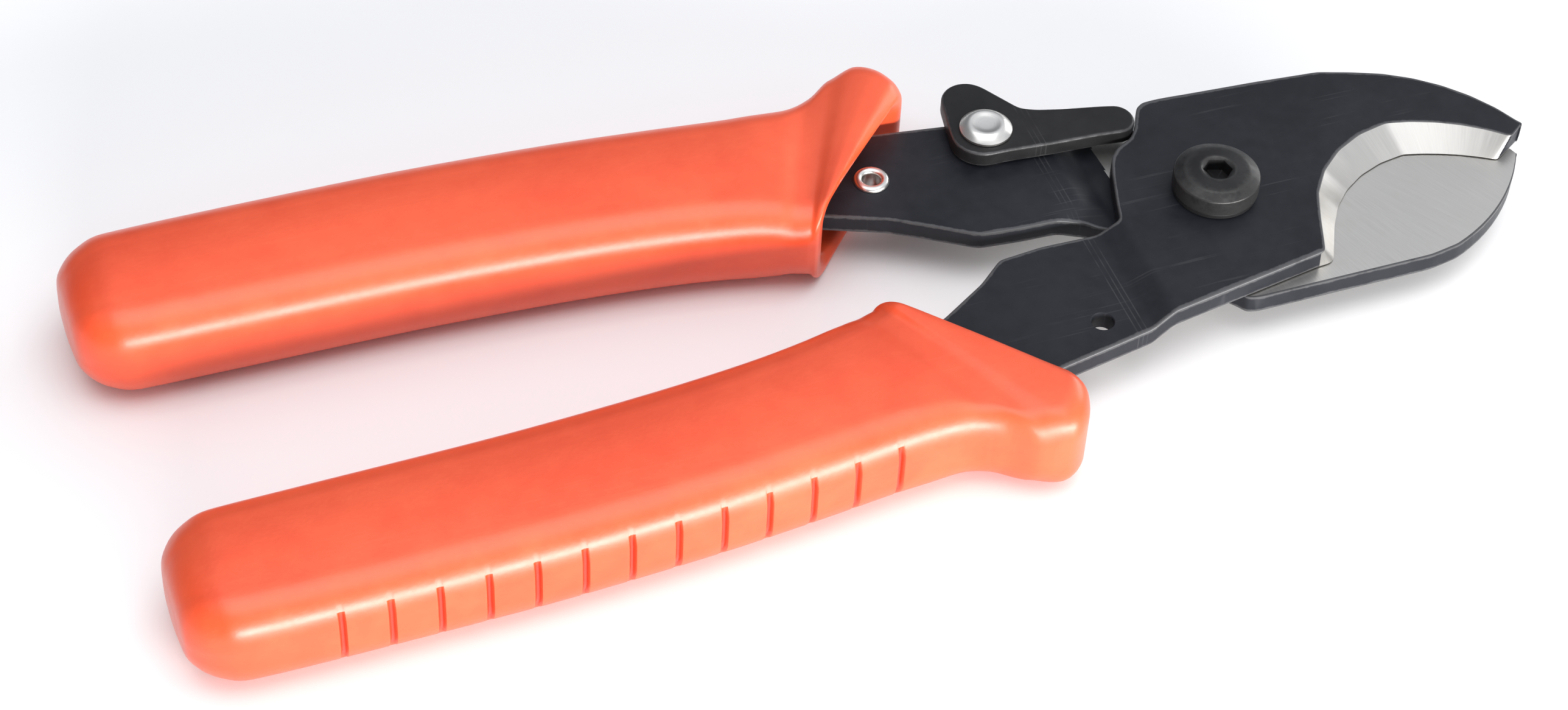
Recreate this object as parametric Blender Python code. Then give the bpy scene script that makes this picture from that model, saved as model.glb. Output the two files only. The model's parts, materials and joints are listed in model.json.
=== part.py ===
"""One-hand cable cutter: two crossed steel blades on a pivot bolt, vinyl grips and a thumb latch.

Lengths are in millimetres in the pivot frame: the pivot axis is +Z through (0, 0), the jaws point along +X
and z = 0 is the plane where the two blades meet.  Every mesh is written in metres, relative to its joint.
"""
import math

import bmesh
import bpy
from mathutils import Vector

MM = 0.001

# Overall size
TIP_X = 54.1
BUTT_X = -172.2
UPPER_GRIP_SETBACK = 2.6
GRIP_HEIGHT = 16.8
PIVOT = Vector((-(TIP_X + BUTT_X - UPPER_GRIP_SETBACK) / 2, 0.0, GRIP_HEIGHT / 2))

# Blades
BLADE_THICKNESS = 3.2
MATING_GAP = 0.2
JOGGLE_START = -16.6
JOGGLE_END = -20.6
JOGGLE_DEPTH = (BLADE_THICKNESS + MATING_GAP) / 2
HEAD_TOP = MATING_GAP / 2 + BLADE_THICKNESS
TANG_TOP = BLADE_THICKNESS / 2
TANG_HOLE = (-27.3, -19.3)
TANG_HOLE_RADIUS = 1.85

# Pivot stack
BOLT_RADIUS = 4.0
BUSHING_INNER = 4.07
BUSHING_OUTER = 5.2
PIVOT_HOLE = 5.28
BUSHING_HALF_LENGTH = HEAD_TOP + 0.08
WASHER_RADIUS = 6.6
WASHER_THICKNESS = 0.8
WASHER_BOTTOM = BUSHING_HALF_LENGTH + 0.08
HEAD_BASE = WASHER_BOTTOM + WASHER_THICKNESS + 0.08
HEAD_RADIUS = 6.8
SOCKET_FLATS = 4.0
NUT_FLATS = 12.4
NUT_HEIGHT = 2.5
NUT_COLLAR = 5.4
NUT_COLLAR_HEIGHT = 0.9

# Return spring, in a ring recess cut in both blades
SPRING_RADIUS = 7.5
WIRE_RADIUS = 0.5
RECESS_INNER = 6.5
RECESS_OUTER = 8.5
RECESS_DEPTH = 1.2
SPRING_LEG = 1.2

# Latch
LATCH_PIVOT = (-29.5, 22.5)
LATCH_WASHER_HEIGHT = 0.3
LATCH_BOTTOM = TANG_TOP + 0.45
LATCH_TOP = LATCH_BOTTOM + 2.6
RIVET_SHANK = 2.5
RIVET_HOLE = 2.57
RIVET_HEAD = 4.2

# Eyelet
EYELET = (-49.7, 19.9)
EYELET_SHANK = 2.1
EYELET_BORE = 1.45
EYELET_FLANGE = 2.85

ROUND_STEPS = 32

BLACK_STEEL = ("blackened_steel", (0.018, 0.019, 0.022), 0.42, 0.85)
BLACK_SCREW = ("black_screw", (0.022, 0.022, 0.023), 0.38, 0.85)
ORANGE_VINYL = ("orange_vinyl", (0.80, 0.115, 0.035), 0.38, 0.0)
SILVER = ("silver_rivet", (0.72, 0.71, 0.68), 0.28, 1.0)
SPRING_STEEL = ("spring_wire", (0.45, 0.45, 0.46), 0.35, 1.0)
PLAIN_STEEL = ("plain_steel", (0.55, 0.55, 0.55), 0.35, 1.0)
WHITE_NYLON = ("white_nylon", (0.80, 0.80, 0.76), 0.5, 0.0)


# ---------------------------------------------------------------- geometry helpers

def arc(start, via, end, steps):
    """Points on the circle through three points, from start to end."""
    (ax, ay), (bx, by), (cx, cy) = start, via, end
    d = 2 * (ax * (by - cy) + bx * (cy - ay) + cx * (ay - by))
    a, b, c = ax * ax + ay * ay, bx * bx + by * by, cx * cx + cy * cy
    ux = (a * (by - cy) + b * (cy - ay) + c * (ay - by)) / d
    uy = (a * (cx - bx) + b * (ax - cx) + c * (bx - ax)) / d
    radius = math.hypot(ax - ux, ay - uy)
    first = math.atan2(ay - uy, ax - ux)
    last = math.atan2(cy - uy, cx - ux)
    middle = math.atan2(by - uy, bx - ux)
    turn = (last - first) % (2 * math.pi)
    if (middle - first) % (2 * math.pi) > turn:
        turn -= 2 * math.pi
    angles = [first + turn * i / steps for i in range(steps + 1)]
    return [(ux + radius * math.cos(a), uy + radius * math.sin(a)) for a in angles]


def spread(start, end, steps):
    """Evenly spaced points on the straight line from start to end."""
    return [(start[0] + (end[0] - start[0]) * i / steps, start[1] + (end[1] - start[1]) * i / steps)
            for i in range(steps + 1)]


def mirror(points):
    """The same outline on the other side of the tool's axis."""
    return [(x, -y) for x, y in points]


def loft(rings):
    """Closed mesh from rings with the same number of points, in order, with both ends capped."""
    mesh = bmesh.new()
    rows = [[mesh.verts.new(Vector(p) * MM) for p in ring] for ring in rings]
    count = len(rows[0])
    for near, far in zip(rows, rows[1:]):
        for i in range(count):
            j = (i + 1) % count
            mesh.faces.new((near[i], near[j], far[j], far[i]))
    mesh.faces.new(rows[0])
    mesh.faces.new(rows[-1])
    bmesh.ops.recalc_face_normals(mesh, faces=mesh.faces)
    return mesh


def turned(profile, steps=ROUND_STEPS):
    """Solid of revolution about Z from (radius, z) points; a closed loop of points makes a ring."""
    mesh = bmesh.new()
    verts = [mesh.verts.new((r * MM, 0, z * MM)) for r, z in profile]
    edges = [mesh.edges.new((a, b)) for a, b in zip(verts, verts[1:] + verts[:1])]
    bmesh.ops.spin(mesh, geom=verts + edges, axis=(0, 0, 1), cent=(0, 0, 0), angle=2 * math.pi, steps=steps,
                   use_merge=True)
    bmesh.ops.remove_doubles(mesh, verts=mesh.verts, dist=1e-6)
    bmesh.ops.dissolve_degenerate(mesh, edges=mesh.edges, dist=1e-7)
    bmesh.ops.recalc_face_normals(mesh, faces=mesh.faces)
    return mesh


def extruded(outline, low, high):
    """Flat plate: an outline raised from one height to the other."""
    return loft([[(x, y, low) for x, y in outline], [(x, y, high) for x, y in outline]])


def polygon(radius, sides, phase=0.0):
    """Corner points of a regular polygon."""
    angles = [phase + 2 * math.pi * i / sides for i in range(sides)]
    return [(radius * math.cos(a), radius * math.sin(a)) for a in angles]


def material(finish):
    """The Principled material of a finish, made once."""
    name, colour, roughness, metallic = finish
    shader = bpy.data.materials.get(name) or bpy.data.materials.new(name)
    shader.use_nodes = True
    socket = shader.node_tree.nodes["Principled BSDF"].inputs
    socket["Base Color"].default_value = (*colour, 1.0)
    socket["Roughness"].default_value = roughness
    socket["Metallic"].default_value = metallic
    return shader


def place(name, mesh, finish, parent=None, at=(0.0, 0.0)):
    """Put a mesh in the scene at a point of the pivot plane, under its joint's empty."""
    data = bpy.data.meshes.new(name)
    mesh.to_mesh(data)
    mesh.free()
    data.materials.append(material(finish).copy())
    data.materials[0].name = name
    data.shade_smooth()
    data.set_sharp_from_angle(angle=math.radians(35))
    piece = bpy.data.objects.new(name, data)
    bpy.context.collection.objects.link(piece)
    if parent:
        piece.parent = parent
    else:
        piece.location = (PIVOT + Vector((at[0], at[1], 0))) * MM
    return piece


def cut(piece, name, mesh, at=(0.0, 0.0)):
    """Cut a mesh, placed at a point of the pivot plane, out of a piece."""
    cutter = place(name, mesh, BLACK_STEEL, at=at)
    cutter.hide_render = True
    cutter.display_type = "WIRE"
    boolean = piece.modifiers.new(name, "BOOLEAN")
    boolean.operation = "DIFFERENCE"
    boolean.solver = "EXACT"
    boolean.object = cutter


def joint_empty(name, at):
    """An empty on a joint's axis."""
    empty = bpy.data.objects.new(name, None)
    bpy.context.collection.objects.link(empty)
    empty.location = (PIVOT + Vector((at[0], at[1], 0))) * MM
    return empty


# ---------------------------------------------------------------- blades

def joggle(x, direction):
    """Height of a blade's step at x: nothing on the head, the full depth on the tang."""
    share = (JOGGLE_START - x) / (JOGGLE_START - JOGGLE_END)
    return direction * JOGGLE_DEPTH * min(max(share, 0.0), 1.0)


def blade_rings(outer, inner_flat, inner_sharp, low, high, direction):
    """Four-point rings across a blade; inner_sharp is the edge on the mating face, z nearer to 0."""
    rings = []
    for a, flat, sharp in zip(outer, inner_flat, inner_sharp):
        mating, open_face = (low, high) if direction < 0 else (high, low)
        corners = [(a, mating), (sharp, mating), (flat, open_face), (a, open_face)]
        rings.append([(x, y, z + joggle(x, direction)) for (x, y), z in corners])
    return rings


def tang_edges():
    """Outer and inner edge points of a tang inside its grip, for the upper handle."""
    lower = [(-62.0, 15.8), (-75.0, 18.0), (-100.0, 20.0), (-150.0, 22.0)]
    upper = [(-65.0, 31.5), (-77.0, 32.6), (-100.0, 34.0), (-150.0, 35.0)]
    return lower, upper


def front_blade_outline():
    """Spine, ground bevel's top edge and cutting edge, from the jaw's tip to the tang's end."""
    tang_lower, tang_upper = tang_edges()
    spine = arc((TIP_X, -0.6), (46.8, 10.6), (33.5, 18.6), 6)
    spine += [(28.0, 20.4), (23.0, 20.8), (17.0, 21.3), (10.0, 21.7), (5.0, 22.0), (2.2, 22.2), (0.0, 22.3)]
    spine += [(-2.2, 22.2), (-3.4, 21.3)]
    spine += [(-5.6, 17.4), (-7.5, 15.2), (-10.5, 13.7), (-12.3, 11.8), (-13.7, 8.4), (-15.7, 2.1)]
    spine += [(JOGGLE_START, -1.3), (JOGGLE_END, -1.9), (-30.0, -1.7), (-37.2, -2.4), (-41.8, -6.3)]
    spine += [(-50.0, -11.4)] + mirror(tang_lower)
    jaw_flat = [(53.6, -1.2)] + arc((51.1, -3.0), (42.7, 2.9), (33.0, 6.0), 5)
    jaw_flat += arc((33.0, 6.0), (20.3, 0.5), (13.4, -10.4), 5)[1:] + [(10.9, -17.1)]
    jaw_sharp = [(53.3, -1.5)] + arc((48.5, -4.4), (41.6, -0.9), (34.4, 1.3), 5)
    jaw_sharp += arc((34.4, 1.3), (22.6, -3.0), (16.5, -10.2), 5)[1:] + [(12.8, -17.3)]
    below = spread((10.3, -17.5), (JOGGLE_START, -22.2), 9)
    below += [(JOGGLE_END, -23.2), (-29.3, -24.9), (-36.0, -26.2), (-43.0, -27.8), (-52.0, -29.9)]
    below += mirror(tang_upper)
    return spine, jaw_flat + below, jaw_sharp + below


def rear_blade_outline():
    """The same three edges of the other blade: its spine is the lower side of the tool."""
    tang_lower, tang_upper = tang_edges()
    spine = arc((52.3, -3.8), (45.4, -12.4), (33.5, -19.7), 12)
    spine += spread((28.5, -20.6), (-1.4, -20.6), 3) + [(-3.1, -20.1)]
    spine += [(-3.9, -18.8), (-7.0, -14.9), (-12.2, -8.2), (JOGGLE_START, -0.4)]
    spine += [(JOGGLE_END, 1.8), (-25.7, 2.8), (-31.0, 3.0), (-37.9, 3.6), (-45.0, 8.0), (-50.0, 11.0)]
    spine += tang_lower
    jaw_sharp = [(51.6, -1.9)] + arc((49.4, 0.4), (41.0, 4.6), (31.5, 6.2), 6)
    jaw_sharp += arc((31.5, 6.2), (20.5, 9.4), (13.2, 17.2), 6)[1:]
    jaw_flat = [(51.0, -3.6)] + arc((48.0, -4.2), (40.0, 0.4), (31.0, 1.9), 6)
    jaw_flat += arc((31.0, 1.9), (18.5, 5.6), (11.2, 14.6), 6)[1:]
    above = spread((6.0, 18.4), (JOGGLE_START, 21.2), 7)
    above += [(JOGGLE_END, 23.2), (-27.0, 26.8), (-33.0, 28.0), (-38.0, 28.7), (-43.0, 29.4), (-52.0, 30.4)]
    above += tang_upper
    return spine, jaw_flat + above, jaw_sharp + above


def recess_cutter():
    """Ring that makes room for the return spring across both mating faces."""
    return turned([(RECESS_INNER, -RECESS_DEPTH), (RECESS_OUTER, -RECESS_DEPTH), (RECESS_OUTER, RECESS_DEPTH),
                   (RECESS_INNER, RECESS_DEPTH)])


def cylinder(radius, low, high, steps=ROUND_STEPS):
    """Plain round bar about Z."""
    return extruded(polygon(radius, steps), low, high)


def spring_leg_angles():
    """Directions of the spring's two legs from the pivot: one in each blade."""
    return math.radians(60), math.radians(240)


def front_blade(parent):
    spine, flat, sharp = front_blade_outline()
    rings = blade_rings(spine, flat, sharp, MATING_GAP / 2, HEAD_TOP, -1)
    blade = place("front_blade", loft(rings), BLACK_STEEL, parent)
    cut(blade, "front_pivot_hole", cylinder(PIVOT_HOLE, -1, 5, 48))
    cut(blade, "front_recess", recess_cutter())
    cut(blade, "tang_hole", cylinder(TANG_HOLE_RADIUS, -4, 4, 24), at=TANG_HOLE)
    upper_leg = spring_leg_angles()[0]
    leg = (SPRING_RADIUS * math.cos(upper_leg), SPRING_RADIUS * math.sin(upper_leg))
    cut(blade, "front_leg_hole", cylinder(WIRE_RADIUS + 0.2, 0, RECESS_DEPTH + SPRING_LEG + 0.2, 12), at=leg)


def rear_blade():
    spine, flat, sharp = rear_blade_outline()
    rings = blade_rings(spine, flat, sharp, -HEAD_TOP, -MATING_GAP / 2, 1)
    blade = place("rear_blade", loft(rings), BLACK_STEEL)
    cut(blade, "rear_pivot_hole", cylinder(PIVOT_HOLE, -5, 1, 48))
    cut(blade, "rear_recess", recess_cutter())
    cut(blade, "latch_rivet_hole", cylinder(RIVET_HOLE, -4, 4), at=LATCH_PIVOT)
    cut(blade, "eyelet_hole", cylinder(EYELET_SHANK + 0.08, -4, 4, 24), at=EYELET)
    lower_leg = spring_leg_angles()[1]
    leg = (SPRING_RADIUS * math.cos(lower_leg), SPRING_RADIUS * math.sin(lower_leg))
    cut(blade, "rear_leg_hole", cylinder(WIRE_RADIUS + 0.2, -RECESS_DEPTH - SPRING_LEG - 0.2, 0, 12), at=leg)


# ---------------------------------------------------------------- grips

def section(inner, outer, height, corner):
    """Rounded rectangle that stands on the line from inner to outer, centred on z = 0."""
    width = math.dist(inner, outer)
    along = ((outer[0] - inner[0]) / width, (outer[1] - inner[1]) / width)
    corner = min(corner, 0.49 * width, 0.49 * height)
    ring = []
    for quarter, (side, up) in enumerate(((1, 1), (-1, 1), (-1, -1), (1, -1))):
        for i in range(5):
            angle = math.radians(90 * quarter + 22.5 * i)
            v = width / 2 + side * (width / 2 - corner) + corner * math.cos(angle)
            z = up * (height / 2 - corner) + corner * math.sin(angle)
            ring.append((inner[0] + along[0] * v, inner[1] + along[1] * v, z))
    return ring


def grip_rings():
    """Rings of the upper grip: skin from the butt to the mouth, then the hollow back to the tang's end."""
    full = GRIP_HEIGHT
    skin = [((BUTT_X, 25.6), (BUTT_X, 33.0), 4.6, 2.0), ((-171.7, 22.2), (-171.7, 36.4), 9.0, 3.8),
            ((-170.3, 19.8), (-170.3, 38.5), 12.6, 5.0), ((-167.7, 17.9), (-167.7, 40.3), 15.4, 5.4),
            ((-163.6, 16.8), (-163.6, 41.4), full, 5.4),
            ((-150.0, 16.5), (-150.0, 41.6), full, 5.4), ((-125.0, 16.1), (-125.0, 41.4), full, 5.4),
            ((-100.0, 14.9), (-98.0, 40.2), full, 5.4), ((-82.0, 13.2), (-78.0, 38.4), full, 5.4),
            ((-71.0, 11.4), (-64.0, 36.8), full, 5.4), ((-66.5, 10.3), (-56.5, 36.4), full, 5.4),
            ((-63.8, 9.4), (-51.0, 38.2), full, 5.4), ((-61.6, 8.9), (-46.3, 41.2), full, 5.4),
            ((-60.6, 8.9), (-42.2, 41.9), full, 4.8), ((-59.9, 9.2), (-38.8, 39.6), full, 4.4),
            ((-59.4, 9.8), (-37.2, 36.2), full, 4.0), ((-58.8, 10.6), (-36.8, 33.4), full - 1.4, 3.8)]
    hollow = [((-58.8, 12.8), (-39.4, 31.8), 11.4, 3.4), ((-60.4, 13.6), (-42.6, 32.4), 10.2, 3.0),
              ((-67.0, 15.4), (-54.0, 31.6), 4.2, 0.6), ((-100.0, 19.2), (-100.0, 34.8), 4.2, 0.6),
              ((-153.0, 21.2), (-153.0, 35.8), 4.2, 0.6)]
    return [section(*row) for row in skin + hollow]


def grips(lower_parent):
    """The same sleeve twice: pushed on a little less far above, and mirrored below."""
    set_back = [[(x - UPPER_GRIP_SETBACK, y, z) for x, y, z in ring] for ring in grip_rings()]
    place("upper_grip", loft(set_back), ORANGE_VINYL)
    mirrored = [[(x, -y, z) for x, y, z in ring] for ring in grip_rings()]
    place("lower_grip", loft(mirrored), ORANGE_VINYL, lower_parent)


# ---------------------------------------------------------------- pivot

def ring_profile(inner, outer, low, high):
    return [(inner, low), (outer, low), (outer, high), (inner, high)]


def pivot_bolt():
    """Flanged button head with a hexagon socket, and a plain shank that ends past the nut."""
    shank_end = -(HEAD_BASE + NUT_HEIGHT + NUT_COLLAR_HEIGHT)
    profile = [(0, shank_end), (3.6, shank_end), (BOLT_RADIUS, shank_end + 0.4), (BOLT_RADIUS, HEAD_BASE),
               (HEAD_RADIUS, HEAD_BASE), (HEAD_RADIUS, HEAD_BASE + 2.4), (HEAD_RADIUS - 0.5, HEAD_BASE + 2.9),
               (5.0, HEAD_BASE + 3.3), (3.6, HEAD_BASE + 3.8), (2.7, HEAD_BASE + 3.9), (0, HEAD_BASE + 3.9)]
    bolt = place("pivot_bolt", turned(profile, 48), BLACK_SCREW)
    socket = extruded(polygon(SOCKET_FLATS / math.sqrt(3), 6), HEAD_BASE + 1.5, HEAD_BASE + 5)
    cut(bolt, "hex_socket", socket)


def lock_nut():
    """Thin hexagon nut with a round collar that holds the locking ring."""
    top = -HEAD_BASE
    collar_top = top - NUT_HEIGHT
    bottom = collar_top - NUT_COLLAR_HEIGHT
    hexagon = extruded(polygon(NUT_FLATS / math.sqrt(3), 6), collar_top, top)
    nut = place("lock_nut", hexagon, PLAIN_STEEL)
    collar = place("nut_collar", cylinder(NUT_COLLAR, bottom, collar_top + 0.3, 48), PLAIN_STEEL)
    collar.hide_render = True
    collar.display_type = "WIRE"
    union = nut.modifiers.new("collar", "BOOLEAN")
    union.operation = "UNION"
    union.solver = "EXACT"
    union.object = collar
    cut(nut, "nut_hole", cylinder(BUSHING_INNER, bottom - 1, top + 1, 48))
    cut(nut, "insert_seat", cylinder(NUT_COLLAR - 0.55, bottom - 1, collar_top + 0.1, 48))
    insert = ring_profile(BUSHING_INNER + 0.03, NUT_COLLAR - 0.65, bottom + 0.1, collar_top)
    place("nut_insert", turned(insert, 48), WHITE_NYLON)


def pivot_stack():
    pivot_bolt()
    lock_nut()
    bushing = ring_profile(BUSHING_INNER, BUSHING_OUTER, -BUSHING_HALF_LENGTH, BUSHING_HALF_LENGTH)
    place("pivot_bushing", turned(bushing, 48), PLAIN_STEEL)
    washer = ring_profile(BUSHING_INNER, WASHER_RADIUS, WASHER_BOTTOM, WASHER_BOTTOM + WASHER_THICKNESS)
    place("front_washer", turned(washer, 48), BLACK_SCREW)
    place("rear_washer", turned([(r, -z) for r, z in washer], 48), PLAIN_STEEL)


def return_spring():
    """Round wire that climbs from the rear blade to the front one, with an upright leg at each end."""
    upper, lower = spring_leg_angles()
    climb = RECESS_DEPTH - WIRE_RADIUS - 0.1
    steps = 40
    sweep = upper - lower + 2 * math.pi * 2

    def on_coil(angle, z):
        return SPRING_RADIUS * math.cos(angle), SPRING_RADIUS * math.sin(angle), z

    lower_end = [on_coil(lower, -RECESS_DEPTH - SPRING_LEG)]
    upper_end = [on_coil(upper, RECESS_DEPTH + SPRING_LEG)]
    coil = [on_coil(lower + sweep * i / steps, climb * (2 * i / steps - 1)) for i in range(steps + 1)]
    curve = bpy.data.curves.new("return_spring", "CURVE")
    curve.dimensions = "3D"
    curve.bevel_depth = WIRE_RADIUS * MM
    curve.bevel_resolution = 2
    curve.use_fill_caps = True
    spline = curve.splines.new("POLY")
    points = lower_end + coil + upper_end
    spline.points.add(len(points) - 1)
    for point, position in zip(spline.points, points):
        point.co = (*(Vector(position) * MM), 1.0)
    spring = bpy.data.objects.new("return_spring", curve)
    curve.materials.append(material(SPRING_STEEL))
    bpy.context.collection.objects.link(spring)
    spring.location = PIVOT * MM


# ---------------------------------------------------------------- latch

def latch_outline():
    """Thumb tab, nose and hub of the latch, relative to its rivet."""
    tab = arc((-4.4, 7.5), (-0.7, 11.5), (3.4, 9.5), 8) + [(7.2, 3.2), (9.5, 2.1), (13.6, 1.0), (19.0, -0.1)]
    nose = arc((22.3, -0.9), (23.9, -3.8), (21.6, -7.0), 6) + [(17.0, -6.5), (9.0, -6.1), (1.9, -5.5)]
    hub = arc((-2.0, -5.4), (-5.2, -3.0), (-5.6, 1.0), 5)
    return tab + nose + hub


def latch_lever(parent):
    lever = place("latch_lever", extruded(latch_outline(), LATCH_BOTTOM, LATCH_TOP), BLACK_STEEL, parent)
    cut(lever, "latch_hole", cylinder(RIVET_HOLE, 0, 7), at=LATCH_PIVOT)


def latch_fasteners():
    """Shouldered rivet with a low dome in front and a flat head behind, and its two washers."""
    head = LATCH_TOP + 0.1
    tail = TANG_TOP + 0.6
    rivet = [(0, -tail - 1.3), (3.0, -tail - 1.3), (3.6, -tail - 0.8), (3.6, -tail), (RIVET_SHANK, -tail),
             (RIVET_SHANK, head), (RIVET_HEAD, head), (RIVET_HEAD, head + 0.5), (3.6, head + 1.0),
             (2.4, head + 1.4), (0, head + 1.6)]
    place("latch_rivet", turned(rivet), SILVER, at=LATCH_PIVOT)
    front = ring_profile(RIVET_HOLE, 4.6, TANG_TOP + 0.07, TANG_TOP + 0.07 + LATCH_WASHER_HEIGHT)
    place("latch_washer", turned(front), PLAIN_STEEL, at=LATCH_PIVOT)
    backing = ring_profile(RIVET_HOLE, 4.4, -TANG_TOP - 0.5, -TANG_TOP - 0.08)
    place("latch_backing_washer", turned(backing), PLAIN_STEEL, at=LATCH_PIVOT)


def tang_eyelet():
    """Tubular rivet: a thin tube with a rolled flange at each end."""
    low, high = TANG_TOP + 0.08, TANG_TOP + 0.75
    profile = [(EYELET_BORE, -high), (EYELET_FLANGE - 0.4, -high), (EYELET_FLANGE, -low - 0.2),
               (EYELET_FLANGE, -low), (EYELET_SHANK, -low), (EYELET_SHANK, low), (EYELET_FLANGE, low),
               (EYELET_FLANGE, low + 0.2), (EYELET_FLANGE - 0.4, high), (EYELET_BORE, high)]
    place("tang_eyelet", turned(profile, 24), SILVER, at=EYELET)


# ---------------------------------------------------------------- assembly

def build():
    for old in list(bpy.data.objects):
        bpy.data.objects.remove(old)
    handle_hinge = joint_empty("handle_hinge", (0.0, 0.0))
    latch_hinge = joint_empty("latch_hinge", LATCH_PIVOT)
    rear_blade()
    front_blade(handle_hinge)
    grips(handle_hinge)
    pivot_stack()
    return_spring()
    latch_lever(latch_hinge)
    latch_fasteners()
    tang_eyelet()


build()
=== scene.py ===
"""One-hand cable cutter on a pale table: two blackened steel blades, orange vinyl grips, a bolt and a latch.

Shapes are worked out in millimetres in the pivot frame (pivot axis +Z through the origin, jaws along +X,
z = 0 where the blades meet) and written in the row frame in metres.
"""
import json
import math

import bpy
import numpy as np
from mathutils import Euler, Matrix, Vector


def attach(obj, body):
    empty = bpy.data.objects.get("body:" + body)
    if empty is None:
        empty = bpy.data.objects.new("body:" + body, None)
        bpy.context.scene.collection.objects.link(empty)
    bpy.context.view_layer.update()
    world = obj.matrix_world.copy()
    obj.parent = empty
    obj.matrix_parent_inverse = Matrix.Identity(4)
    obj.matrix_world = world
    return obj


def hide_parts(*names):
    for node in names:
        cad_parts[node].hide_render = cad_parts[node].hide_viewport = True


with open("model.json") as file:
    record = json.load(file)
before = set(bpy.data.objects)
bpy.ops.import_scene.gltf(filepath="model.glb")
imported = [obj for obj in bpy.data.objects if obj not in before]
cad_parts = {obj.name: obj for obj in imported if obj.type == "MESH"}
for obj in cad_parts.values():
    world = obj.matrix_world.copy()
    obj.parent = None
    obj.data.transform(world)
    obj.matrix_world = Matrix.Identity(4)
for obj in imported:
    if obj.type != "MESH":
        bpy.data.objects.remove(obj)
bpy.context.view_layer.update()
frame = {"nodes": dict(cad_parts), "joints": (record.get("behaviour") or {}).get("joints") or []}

MM = 0.001
PIVOT = np.array(next(j["pos_m"] for j in frame["joints"] if j["name"] == "handle_hinge"))

# Blades: plate, joggle, bends, the end of the ground stretch and the start of the painted highlight lines
# beside the bend
PLATE = 3.2
MATING_GAP = 0.1
HEAD_TOP = MATING_GAP + PLATE
TANG_TOP = PLATE / 2
STEP_DEPTH = MATING_GAP + PLATE / 2
STEP_START = -16.6
STEP_LENGTH = 4.0
REAR_STEP_START = -20.3
REAR_STEP_LENGTH = 4.4
SLANT_POINT = (-24.3, 3.0)
SLANT_NORMAL = (0.546, -0.838)
BEND = 0.7
RING_SPACING = 0.38
OUTLINE_SOFTNESS = 0.55
TOP_ROUND = 0.30
LOW_ROUND = 0.14
GROUND_END = -12.6
# Start of the painted highlight lines that stand for the bend's reflection
BEND_GLINT_START = -23.6
TIP = (54.1, -0.6)
NOSE_FORWARD = np.array([0.55, -0.83, 0.0]) * 0.25
NOSE_PINCH = 0.256
HIDDEN_IN_GRIP = -68.0
TANG_HOLE = (-27.3, -19.3)
TANG_HOLE_RADIUS = 1.75
HOLE_CHAMFER = 0.12
PIVOT_HOLE = 5.28
RECESS_INNER, RECESS_OUTER, RECESS_DEPTH = 6.5, 8.5, 1.2

# Pivot stack
BOLT_RADIUS = 4.0
BORE = 4.07
WASHER_RADIUS = 6.6
WASHER_LOW, WASHER_HIGH = 3.46, 4.26
HEAD_BASE = 4.34
HEAD_RADIUS = 6.8
SOCKET_FLATS = 4.0
NUT_FLATS = 12.4
NUT_BOTTOM = -6.84
COLLAR_BOTTOM = -7.74

# Latch, rivet and eyelet
LATCH_PIVOT = (-29.5, 22.5)
LATCH_LOW, LATCH_HIGH = 2.05, 4.65
LATCH_TOP_ROUND, LATCH_LOW_ROUND = 0.5, 0.25
RIVET_HOLE = 2.57
RIVET_RADIUS = 4.2
EYELET = (-49.7, 19.9)
EYELET_SHANK = 2.1
EYELET_BORE = 1.45
EYELET_FLANGE = 2.85

# Grips
BUTT = -172.2
UPPER_GRIP_SETBACK = 2.6
GRIP_HEIGHT = 16.8
GROOVE_FIRST, GROOVE_LAST, GROOVE_PITCH = -150.8, -66.8, 7.0
GROOVE_DEPTH = 0.7
GROOVE_WALL = (0.16, 0.60)
GROOVE_BOTTOM, GROOVE_TOP = (-6.4, -5.0), (3.6, 5.2)
CROWN = 0.35

# Direction of the brightest part of the surround; camera in metres from the pivot, degrees and millimetres
SKY_AXIS = (0.35, 0.0, 0.94)
CAMERA_PLACE = (-0.206079, -0.327732, 0.362)
CAMERA_TURN = (43.4874, -2.2889, -20.0)
SENSOR, LENS = 36.0, 76.863

# Finish of the meshes
SHARP_ANGLE = math.radians(32)
FAR_FROM_EDGES = 9.0


# ---------------------------------------------------------------- curves

def arc(start, via, end, steps):
    """Points on the circle through three points: centre from the perpendicular bisectors, equal angles."""
    a, b, c = (np.array(p, float) for p in (start, via, end))
    d = 2 * (a[0] * (b[1] - c[1]) + b[0] * (c[1] - a[1]) + c[0] * (a[1] - b[1]))
    sa, sb, sc = a @ a, b @ b, c @ c
    centre = np.array([(sa * (b[1] - c[1]) + sb * (c[1] - a[1]) + sc * (a[1] - b[1])) / d,
                       (sa * (c[0] - b[0]) + sb * (a[0] - c[0]) + sc * (b[0] - a[0])) / d])
    first, middle, last = (math.atan2(*(p - centre)[::-1]) for p in (a, b, c))
    turn = (last - first) % (2 * math.pi)
    if (middle - first) % (2 * math.pi) > turn:
        turn -= 2 * math.pi
    angle = first + turn * np.linspace(0, 1, steps + 1)
    return centre + np.linalg.norm(a - centre) * np.column_stack([np.cos(angle), np.sin(angle)])


def spread(start, end, steps):
    """Evenly spaced points on the straight line from start to end."""
    return np.linspace(start, end, steps + 1)


def joined(*runs):
    """Runs of points one after another as one array."""
    return np.vstack([np.atleast_2d(np.array(run, float)) for run in runs])


def flipped(points):
    """The outline mirrored across the tool's axis: y becomes minus y."""
    return np.array(points, float) * [1, -1]


def chord_length(points):
    """Distance travelled along the last axis of points, starting at zero."""
    steps = np.linalg.norm(np.diff(points, axis=0), axis=-1)
    return np.concatenate([[0.0], np.cumsum(steps)])


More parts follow.
